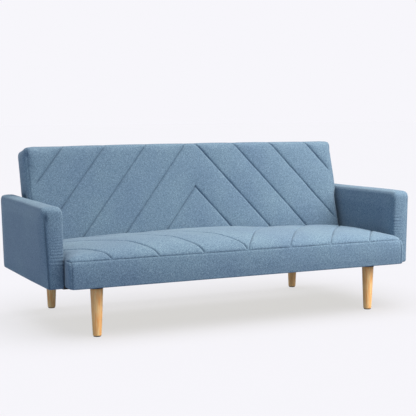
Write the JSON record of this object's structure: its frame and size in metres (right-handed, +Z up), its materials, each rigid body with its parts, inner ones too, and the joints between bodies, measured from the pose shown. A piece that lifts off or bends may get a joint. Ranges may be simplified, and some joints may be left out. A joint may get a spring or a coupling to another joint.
{
  "type": "futon sofa bed",
  "caption": "Click-clack futon sofa bed: padded seat, backrest that folds flat on ratchet hinges, square padded arms and tapered round wooden legs.",
  "frame": {"origin": "on the floor under the middle of the sofa's overall box", "axes": "+X along the length to the right arm seen from the front, +Y to the rear, +Z up"},
  "size_m": [1.96, 0.885, 0.8569],
  "materials": {
    "fabric": "heathered plain-weave upholstery",
    "leg_wood": "clear satin lacquer",
    "frame_wood": "sawn, unfinished",
    "base_steel": "black powder coat",
    "zinc_hardware": "zinc plated",
    "spring_steel": "oiled wire",
    "lining": "non-woven",
    "webbing": "elastic webbing",
    "glide_nylon": "moulded"
  },
  "bodies": {
    "base": {"arm_band_left": "fabric", "arm_band_right": "fabric", "arm_bolt_front_left": "zinc_hardware", "arm_bolt_front_right": "zinc_hardware", "arm_bolt_rear_left": "zinc_hardware", "arm_bolt_rear_right": "zinc_hardware", "arm_core_left": "frame_wood", "arm_core_right": "frame_wood", "arm_inner_pad_left": "fabric", "arm_inner_pad_right": "fabric", "arm_outer_pad_left": "fabric", "arm_outer_pad_right": "fabric", "base_front_tube": "base_steel", "base_rear_tube": "base_steel", "base_side_tube_left": "base_steel", "base_side_tube_right": "base_steel", "glide_front_left": "glide_nylon", "glide_front_right": "glide_nylon", "glide_rear_left": "glide_nylon", "glide_rear_right": "glide_nylon", "hinge_pin_left": "zinc_hardware", "hinge_pin_right": "zinc_hardware", "hinge_seat_plate_left": "zinc_hardware", "hinge_seat_plate_right": "zinc_hardware", "leg_front_left": "leg_wood", "leg_front_right": "leg_wood", "leg_rear_left": "leg_wood", "leg_rear_right": "leg_wood", "leg_stud_front_left": "zinc_hardware", "leg_stud_front_right": "zinc_hardware", "leg_stud_rear_left": "zinc_hardware", "leg_stud_rear_right": "zinc_hardware", "seat_dust_cover": "lining", "seat_front_band": "fabric", "seat_front_rail": "frame_wood", "seat_pad": "fabric", "seat_rear_rail": "frame_wood", "seat_side_band_left": "fabric", "seat_side_band_right": "fabric", "seat_side_rail_left": "frame_wood", "seat_side_rail_right": "frame_wood", "seat_spring_1": "spring_steel", "seat_spring_2": "spring_steel", "seat_spring_3": "spring_steel", "seat_spring_4": "spring_steel"},
    "backrest": {"back_bottom_rail": "frame_wood", "back_pad": "fabric", "back_rear_panel": "fabric", "back_side_band_left": "fabric", "back_side_band_right": "fabric", "back_side_rail_left": "frame_wood", "back_side_rail_right": "frame_wood", "back_top_band": "fabric", "back_top_rail": "frame_wood", "back_web_1": "webbing", "back_web_2": "webbing", "hinge_back_plate_left": "zinc_hardware", "hinge_back_plate_right": "zinc_hardware"},
    "pawl_left": {"pawl_left": "zinc_hardware"},
    "pawl_right": {"pawl_right": "zinc_hardware"}
  },
  "joints": [
    {"name": "back_recline", "type": "hinge", "parent": "base", "child": "backrest", "pos_m": [0, 0.1876, 0.347], "axis": [-1, 0, 0], "range_deg": [-12, 75]},
    {"name": "pawl_left_pivot", "type": "hinge", "parent": "base", "child": "pawl_left", "pos_m": [-0.8926, 0.1296, 0.3255], "axis": [1, 0, 0], "range_deg": [0, 12], "stiffness_Nm_per_rad": 0.05, "springref_deg": -20.05},
    {"name": "pawl_right_pivot", "type": "hinge", "parent": "base", "child": "pawl_right", "pos_m": [0.8926, 0.1296, 0.3255], "axis": [1, 0, 0], "range_deg": [0, 12], "stiffness_Nm_per_rad": 0.05, "springref_deg": -20.05}
  ]
}
